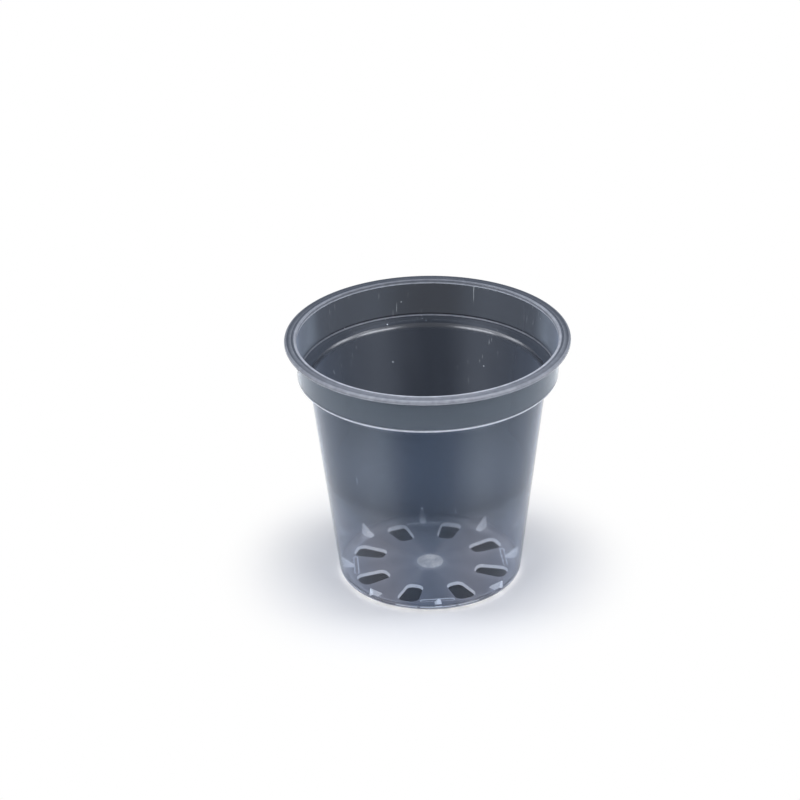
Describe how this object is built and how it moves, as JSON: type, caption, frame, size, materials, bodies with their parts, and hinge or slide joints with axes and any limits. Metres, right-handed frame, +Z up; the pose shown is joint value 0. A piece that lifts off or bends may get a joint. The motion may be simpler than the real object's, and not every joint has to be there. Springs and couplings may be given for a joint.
{
  "type": "orchid pot",
  "caption": "Clear tapered orchid pot with a turned-down lip, a stacking collar and a floor with wedge-shaped drain slots, so roots get light and air.",
  "frame": {"origin": "on the standing plane, at the pot's axis", "axes": "+Z up along the axis, towards the mouth; +X through a stacking rib and a foot bar"},
  "size_m": [0.12, 0.12, 0.112],
  "materials": {
    "clear_polypropylene": "injection-moulded clear polypropylene, glossy with a faint haze and a cool smoky tint"
  },
  "bodies": {
    "root": {"rim_lip": "clear_polypropylene", "collar": "clear_polypropylene", "stacking_shoulder": "clear_polypropylene", "side_wall": "clear_polypropylene", "heel_ring": "clear_polypropylene", "slotted_floor": "clear_polypropylene", "gate_pad": "clear_polypropylene", "stacking_rib_1": "clear_polypropylene", "stacking_rib_2": "clear_polypropylene", "stacking_rib_3": "clear_polypropylene", "stacking_rib_4": "clear_polypropylene", "stacking_rib_5": "clear_polypropylene", "stacking_rib_6": "clear_polypropylene", "stacking_rib_7": "clear_polypropylene", "stacking_rib_8": "clear_polypropylene", "foot_bar_1": "clear_polypropylene", "foot_bar_2": "clear_polypropylene", "foot_bar_3": "clear_polypropylene", "foot_bar_4": "clear_polypropylene"}
  },
  "joints": []
}
